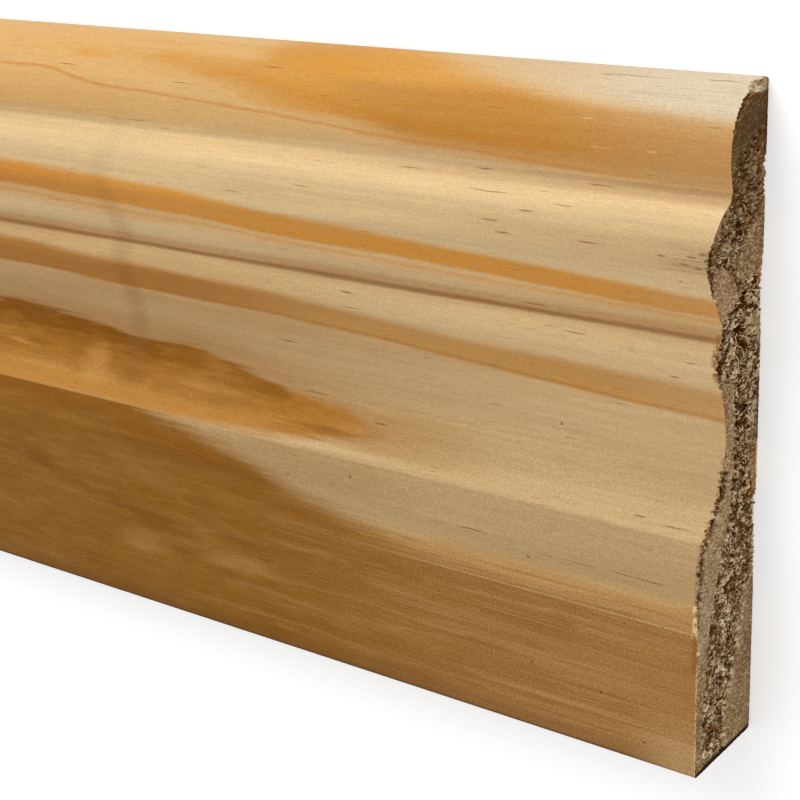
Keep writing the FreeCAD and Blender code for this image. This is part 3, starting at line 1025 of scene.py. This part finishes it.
def paint_plinth(coat, run, up, level, broad, streak, mottle, ripples, clouds, fine):
    """The dark heart of the plinth."""
    top = edge(run, PLINTH_TOP)
    soft = run.step(160, 95) * 1.9 + 0.9
    streaky = (streak - 0.5) * 3 + (fine - 0.5) * (run.step(120, 60) * 7 + 1)
    below = ((level + ripples * 2.5 + streaky - top) / soft).step(1, -1)
    swayed = level + ripples * 4
    loose_run = run + (broad - 0.5) * 30
    vein = abs(level + ripples * 3 - edge(run, VEIN)).step(2.4, 0.4) * run.step(105, 130)
    rim = (level + ripples * 5 - top).step(-11, -2) * run.step(60, 100)
    tone = Coat((161, 120, 72))
    for share, colour in (
        (run.step(5, 95), (132, 86, 20)),
        (clouds.step(0.5, 0.68) * 0.38, (160, 118, 62)),
        (clouds.step(0.48, 0.32) * 0.38, (118, 72, 4)),
        (nearest(loose_run, swayed, PALE_PATCHES[5:]) * 0.46, (166, 122, 64)),
        (nearest(loose_run, swayed, DARK_PATCHES[4:]) * 0.5, (118, 72, 2)),
        (mottle.step(0.52, 0.66) * 0.16, (160, 116, 56)),
        (mottle.step(0.48, 0.34) * 0.2, (110, 68, 6)),
        (vein * (clouds.step(0.62, 0.4) * 0.4 + 0.25), (114, 70, 8)),
        (rim * (run.step(118, 140) * 0.2 + 0.6), (126, 76, 8)),
    ):
        tone.add(share, colour)
    coat.add(below * up.step(CREASE_AT + 0.3, CREASE_AT - 0.1), tone)
    coat.add(band(up, 43.8, 36.5, 0.2, 2.2) * band(run, 104, 62, 10, 12) * 0.24, (134, 92, 40))
    coat.add(around(level, 31.5, 3.5, 0.5) * run.step(95, 40) * 0.22, ORANGE)
    coat.add(up.step(HEART_AT, 27.5) * run.step(100, 50) * 0.4, (142, 96, 40))
    coat.add(stripe(up, HEART_AT, 0.24) * run.step(90, 40) * 0.5, (200, 162, 110))


def paint_lines(coat, place, ragged, streak, clouds, fine):
    """Long fine lines of the grain, and the groove's dark line of dirt and painted shade."""
    run, up, out = place
    bars = noise_of((run, up + clouds * 5, out), (80, 1.4, 1.4), 3, 0.65, 23)
    barred = up.step(36, 30) * run.step(150, 40) * 0.2 + up.step(44, 40) * 0.06
    coat.add(bars.step(0.52, 0.66) * barred, (182, 142, 94))
    coat.add(bars.step(0.48, 0.34) * barred, (128, 78, 30))
    lines = up.step(33, 27) * run.step(120, 30) * 0.4 + 0.07
    coat.add(fine.step(0.52, 0.72) * lines, (186, 146, 96))
    coat.add(fine.step(0.48, 0.3) * lines, (124, 84, 44))
    # Dirt and painted shade in the groove: a wide soft stripe, then a dark line in its corner.
    coat.add(stripe(up, GROOVE_AT + 1, 1.5) * (streak * 0.4 + 0.15), (160, 108, 56))
    coat.add(stripe(up + ragged * 0.5, GROOVE_AT, 0.75) * (streak * 0.5 + 0.42), (128, 76, 22))


def paint_wear_and_shade(coat, run, up, out):
    """Painted shade at the foot and in the quirk, the worn corner, and a ripple across the face."""
    # Painted shade: darker towards the foot edge and on its lower arris.
    foot_shade = up.step(5.5, 0) * 0.42 + up.step(1, 0.35) * 0.5
    foot_shade = foot_shade * (out.step(15, 20.4) * 0.7 + 0.3) * (run.step(0, 10) * 0.5 + 0.5)
    coat.add(foot_shade + up.step(9, 3) * run.step(85, 120) * 0.13, (92, 56, 18))
    coat.add(up.step(13, 3) * run.step(16, 1) * 0.5, (186, 154, 108))
    # Painted shade in the quirk under the bead, wider near the end.
    coat.add(stripe(up, QUIRK_AT, 0.8) * (run.step(50, 5) * 0.25 + 0.14), (136, 100, 58))
    coat.add(band(up, 102.2, 100.4, 0.5, 0.5) * run.step(95, 20) * 0.4, (160, 122, 80))
    ripple = around(run, 135.5, 4.5, 0.5) * up.step(42, 55) * up.step(112, 92)
    coat.add(ripple * (up.step(105, 60) * 0.2 + 0.08), RESIN)


def paint_marks(coat, place, fine):
    """Resin marks, flakes, smudges, the corner at the near end, and specks."""
    run, up, _ = place
    shake = up + (noise_of(place, (4, 1, 1), 2, 0.5, 13) - 0.5) * 0.4
    coat.add(nearest(run, shake, MARKS) * 0.75, RESIN)
    coat.add(nearest(run, shake, FLAKES) * 0.3, (238, 208, 156))
    smudge = run.step(13, 1) * around(up, 92.6, 2.6, 0.6) * fine.step(0.4, 0.6)
    upper = run.step(34, 8) * band(up, 117.6, 112.6, 1.2, 1.2) * fine.step(0.5, 0.66)
    coat.add(smudge.larger(upper * 0.6) * 0.66, (104, 88, 64))
    paint_corner(coat, place)
    specks = [(along, high, SPECK_LONG, SPECK_HIGH) for along, high in SPECKS]
    coat.add(nearest(run, up, specks) * 0.8, (70, 48, 30))


def paint_corner(coat, place):
    """What the saw left along the corner between the face and the near end."""
    run, up, _ = place
    frayed = noise_of(place, (0.7, 0.9, 0.9), 2, 0.5, 35)
    near = run + (frayed - 0.5) * 1.2
    brown = near.step(1.5, 0.8) * band(up, 27.4, 20.6, 0.4, 0.4)
    brown = brown.larger(near.step(1.7, 0.9) * band(up, 79.6, 71.2, 1, 1) * frayed.step(0.4, 0.52))
    brown = brown.larger(near.step(1.2, 0.6) * band(up, 57, 31, 2, 2) * frayed.step(0.46, 0.54))
    coat.add(brown * 0.75, (138, 84, 30))
    pale = near.step(1.5, 0.7) * band(up, 33.5, 27.2, 0.8, 0.4) * frayed.step(0.52, 0.44)
    pale = pale.larger(run.step(0.5, 0.2) * up.step(24, 19) * frayed.step(0.36, 0.56) * 0.8)
    coat.add(pale * 0.7, (232, 200, 152))


def face_colour(place, broad, streak):
    """The moulded face: the bands of late wood that the photograph shows, then wander on."""
    run, up, out = place
    wander = noise_of(place, (420, 900, 900), 2, 0.5, 3) - 0.5
    ragged = noise_of(place, (20, 1.6, 1.6), 3, 0.6, 7) - 0.5
    mottle = noise_of((run + streak * 6, up, out), (8, 1.9, 1.9), 2, 0.6, 41)
    ripples = noise_of(place, (13, 2.6, 2.6), 2, 0.55, 17) - 0.5
    clouds = noise_of((run + ripples * 30, up, out), (34, 6.5, 6.5), 2, 0.5, 19)
    fine = noise_of(place, (55, 0.3, 0.3), 3, 0.7, 11)
    level = up + run.step(170, 700) * wander * 46 + ragged * 1.3

    coat = clear_wood(run, up, broad, streak)
    paint_bead(coat, run, up, level, broad, streak)
    paint_bands(coat, run, level, streak)
    paint_figure(coat, run, level, broad, streak, mottle)
    paint_plinth(coat, run, up, level, broad, streak, mottle, ripples, clouds, fine)
    paint_lines(coat, place, ragged, streak, clouds, fine)
    paint_wear_and_shade(coat, run, up, out)
    paint_marks(coat, place, fine)
    return coat


def back_colour(place, streak):
    """The plain back: the arches of a board sawn through the rings."""
    run, up, _ = place
    sway = noise_of(place, (260, 60, 60), 2, 0.5, 21) - 0.5
    across = up - 56 + sway * 26
    rings = (across * across / 210 + run / 95 + sway * 2.2).math("FRACT")
    coat = Coat((214, 180, 132))
    coat.add(streak, (202, 166, 116))
    coat.add(rings.step(0.35, 0.93) * rings.step(1.0, 0.95) * 0.75, (184, 130, 66))
    return coat


def planed_pine():
    material, tree, shader, place = start_material("planed_pine")
    _, up, out = place
    broad = noise_of(place, (60, 5, 5), 3, 0.5, 1)
    streak = noise_of(place, (26, 0.9, 0.9), 3, 0.6, 2)
    fibre = noise_of(place, (3.5, 0.2, 0.2), 2, 0.5, 4)
    grit = noise_of(place, (0.5, 0.3, 0.3), 2, 0.5, 6)
    dashes = noise_of(place, (4.5, 0.26, 0.26), 1, 0.5, 9)

    coat = face_colour(place, broad, streak)
    coat.add(out.step(0.9, 0.25), back_colour(place, streak))
    coat.add(dashes.step(0.69, 0.8) * 0.5, RESIN)
    grainy = (grit - 0.5) * (up.step(60, 44) * 0.25 + up.step(36, 26) * 0.55 + 0.5)
    coat.shade((fibre - 0.5) * 0.22 + grainy + (streak - 0.5) * 0.12 + 1.0)
    add_surface(tree, shader, coat, streak * 0.18 + 0.4, 0.08)
    add_bump(tree, shader, streak * 0.5 + fibre * 0.6 + grit * 0.4, 0.35, 0.00005)
    return material


def attribute(tree, name):
    """A number stored with the points of the sawn ends."""
    made = add_node(tree, "ShaderNodeAttribute", (), attribute_name=name)
    return Value(tree, made.outputs["Fac"])


def sawn_ground(up, out, broad, grit, speck):
    """Where the sawn end is pale, dim, greyer or darker, with its specks."""
    coat = Coat((176, 142, 103))
    coat.add(broad.step(0.35, 0.7), (148, 112, 72))
    dim = up.step(84, 104) * 0.72 + up.step(106, 111) * 0.15
    dim = dim.larger(up.step(50, 56) * up.step(70, 62) * out.step(6.5, 4) * 0.72)
    dim = dim.larger(up.step(60, 64) * up.step(72, 68) * out.step(8, 10) * 0.14)
    dim = dim.larger(up.step(36, 26) * (out + grit * 2).step(12, 9) * 0.24)
    coat.add(dim, (84, 56, 28))
    outer = out.step(15.5, 18)
    coat.add(outer * band(up, 46, 24, 4, 6) * 0.5, (184, 160, 132))
    coat.add(outer * up.step(26, 14) * 0.4, (102, 68, 36))
    clear = up.step(109, 104) * 0.3 + 0.4
    coat.add(speck.step(0.5, 0.66) * (clear - up.step(100, 108) * 0.26), (226, 202, 164))
    coat.add(speck.step(0.49, 0.31) * clear, (90, 60, 28))
    return coat


def paint_torn(coat, tree, up, broad, grit, speck, strand):
    """Light and dark strands where the saw tore the end, painted highlights on its raised fibres, painted
    shade in its hollows, and the frayed rim.
    """
    sunk, torn, tone, rim = (attribute(tree, name) for name in END_VALUES)
    light = Coat((255, 228, 184))
    light.add(up.step(84, 104), (200, 164, 120))
    lines = torn * (up.step(84, 96) * -0.38 + 0.94)
    rim = rim.step(0.1, 0.6)
    for share, colour in (
        # Painted highlight: the less sunk a torn fibre is, the paler.
        ((sunk * -1).step(-0.8, -0.15) * torn * (tone * -0.5 + 0.95), light),
        (tone.step(0.7, 0.9) * torn * 0.6, (160, 100, 40)),
        (band(up, 61, 45, 3, 3) * torn * strand.step(0.5, 0.42) * 0.6, (56, 22, 0)),
        (strand.step(0.51, 0.45) * lines * (up.step(50, 42) * -0.2 + 1), (80, 40, 4)),
        (strand.step(0.535, 0.585) * lines, light),
        (broad.step(0.46, 0.58) * torn * speck.step(0.62, 0.5) * 0.7, (124, 74, 20)),
        # Painted shade: the deeper the end is sunk, the darker.
        ((sunk + (grit - 0.5) * 0.6).step(0.65, 1.3) * 0.94, (66, 30, 2)),
        (rim * 0.6, (116, 68, 18)),
        (rim * speck.step(0.5, 0.59) * 0.85, (236, 200, 148)),
    ):
        coat.add(share, colour)


def paint_lip(coat, run, up, out, grit, speck):
    """The rounded lip at the top of the near end, pale partly as the face is and partly as painted light,
    with the notch under it.
    """
    # Painted light: the lip is painted paler, as where it turns up to the light.
    lip = (up + grit * 0.8 - 0.4).step(LIP_HEIGHT - 0.3, LIP_HEIGHT + 0.3)
    tone = Coat((204, 180, 138))
    tone.add(out.step(LIP_DEPTH - 1.6, LIP_DEPTH + 0.6), (240, 218, 182))
    tone.add(speck.step(0.5, 0.4) * 0.6, (140, 104, 62))
    coat.add(lip * (run - LENGTH / 2).step(0, -1) * 0.9, tone)
    notch = around(up + grit, LIP_HEIGHT + 0.3, 0.55, 0.2) * around(out, 5.4, 2.4, 1.8)
    coat.add(notch * 0.8, (112, 66, 10))


def paint_back_edge(coat, up, out, broad, grit, speck):
    """Along the back of the sawn end: a stain, a cream patch, dark and bright places, and a painted
    shadow along the foot.
    """
    stain = around(up + grit * 2, 52, 5.5, 3.8) * (out + grit * 3).step(4, 2)
    coat.add(stain * speck.step(0.38, 0.52) * 0.8, (190, 124, 44))
    coat.add(stain * speck.step(0.44, 0.34) * 0.7, (96, 54, 10))
    coat.add(around(up, 53.5, 3.6, 2.6) * out.step(0.8, 0.4) * 0.8, (244, 208, 150))
    dark = out.step(0.9, 0.3) * up.step(104, 108).larger(band(up, 69, 56.5, 1.5, 0.5))
    coat.add(dark * 0.75, (84, 48, 12))
    bright = (out + grit * 1.4).step(2.6, 1.4) * band(up, 90, 82, 2, 2) * broad.step(0.42, 0.55)
    coat.add(bright * 0.42, (190, 118, 44))
    # Painted shadow: a dark line along the foot of the sawn end.
    coat.add(up.step(1.2, 0.6) * 0.95, (30, 18, 8))


def sawn_pine():
    material, tree, shader, place = start_material("sawn_pine")
    run, up, out = place
    grit = noise_of(place, (0.6, 0.55, 0.5), 2, 0.6, 5)
    speck = noise_of(place, (0.5, 0.3, 0.8), 2, 0.6, 15)
    slanted = (run + grit, up * 0.46 - out * 0.89, up * 0.89 + out * 0.46)
    strand = noise_of(slanted, (0.7, 1.7, 0.58), 1, 0.5, 25)
    broad = noise_of(place, (9, 9, 4), 2, 0.5, 8)

    coat = sawn_ground(up, out, broad, grit, speck)
    paint_torn(coat, tree, up, broad, grit, speck, strand)
    paint_lip(coat, run, up, out, grit, speck)
    paint_back_edge(coat, up, out, broad, grit, speck)
    add_surface(tree, shader, coat, grit * 0.2 + 0.7, 0.02)
    add_bump(tree, shader, grit + speck + strand, 0.8, 0.0002)
    return material


def torn_fibre():
    material, tree, shader, place = start_material("torn_fibre")
    run, up, _ = place
    grain = noise_of(place, (1, 1.6, 0.9), 2, 0.5, 31)
    fine = noise_of(place, (0.4, 0.5, 0.2), 1, 0.5, 33)
    coat = Coat((248, 220, 176))
    coat.add(up.step(84, 104), (200, 166, 122))
    coat.add(grain.step(0.42, 0.66), (150, 104, 54))
    coat.add(fine.step(0.5, 0.3) * 0.5, (110, 70, 30))
    # Painted shade: splinters darken where they dive into the end.
    coat.add(run.step(0.45, 1.1) * 0.8, (86, 48, 14))
    add_surface(tree, shader, coat, fine * 0.2 + 0.65, 0.04)
    return material


# The stage: floor, light, camera.

CAMERA_PLACE = Vector((1.32294, 0.11061, 0.26310))
CAMERA_LOOK = Vector((-0.56847, -0.34273, -0.74792))
CAMERA_ROLL = -2.440
LENS = 79.928
SENSOR = 36.0
NEAREST_SEEN = 0.01
FLOOR_HALF = 12.0
FLOOR_DROP = 0.0001
FLOOR_GREY = 0.72
FLOOR_GLOW = 0.42
SUN_FROM = Vector((-0.3, 0.75, 0.59))
SUN_STRENGTH = 1.6
SUN_SPREAD = 40
SKY_SEEN = 1.0
SKY_LIGHT = 0.72


def make_camera():
    data = bpy.data.cameras.new("camera")
    data.lens = LENS
    data.sensor_width = SENSOR
    data.clip_start = NEAREST_SEEN
    camera = add_object("camera", data)
    right = CAMERA_LOOK.cross(Vector((0, 1, 0))).normalized()
    up = right.cross(CAMERA_LOOK)
    turn = Matrix((right, up, -CAMERA_LOOK)).transposed().to_4x4()
    roll = Matrix.Rotation(math.radians(CAMERA_ROLL), 4, "Z")
    camera.matrix_world = Matrix.Translation(CAMERA_PLACE) @ turn @ roll
    bpy.context.scene.camera = camera


def make_floor():
    sides = ((-1, -1), (1, -1), (1, 1), (-1, 1))
    corners = [(x * FLOOR_HALF, y * FLOOR_HALF, -FLOOR_DROP) for x, y in sides]
    mesh = add_mesh("floor", corners, [(0, 1, 2, 3)])
    material = bpy.data.materials.new("floor")
    material.use_nodes = True
    tree = material.node_tree
    fill(tree, tree.nodes["Principled BSDF"], {
        "Base Color": (FLOOR_GREY, FLOOR_GREY, FLOOR_GREY, 1), "Roughness": 0.9,
        "Emission Color": (1, 1, 1, 1), "Emission Strength": seen_directly(tree) * FLOOR_GLOW,
    })
    mesh.materials.append(material)
    floor = add_object("floor", mesh)


def seen_directly(tree):
    """1 for what the camera sees, itself or in a gloss or through glass."""
    path = tree.nodes.new("ShaderNodeLightPath")
    camera, glossy, passed = (
        Value(tree, path.outputs[name])
        for name in ("Is Camera Ray", "Is Glossy Ray", "Is Transmission Ray")
    )
    return camera.larger(glossy).larger(passed)


def make_light():
    data = bpy.data.lights.new("key", "SUN")
    data.energy = SUN_STRENGTH
    data.angle = math.radians(SUN_SPREAD)
    key = add_object("key", data)
    key.rotation_mode = "QUATERNION"
    key.rotation_quaternion = SUN_FROM.normalized().to_track_quat("Z", "Y")

    world = bpy.data.worlds.new("studio")
    world.use_nodes = True
    tree = world.node_tree
    strength = seen_directly(tree) * (SKY_SEEN - SKY_LIGHT) + SKY_LIGHT
    fill(tree, tree.nodes["Background"], {"Color": (1, 1, 1, 1), "Strength": strength})
    bpy.context.scene.world = world


bpy.context.scene.view_settings.view_transform = "Standard"
make_camera()
make_floor()
make_light()

board, fibres = make_board()
board.data.materials.append(planed_pine())
board.data.materials.append(sawn_pine())
fibres.data.materials.append(torn_fibre())
for piece in (board, fibres):
    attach(piece, "root")
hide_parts("skirting_board")
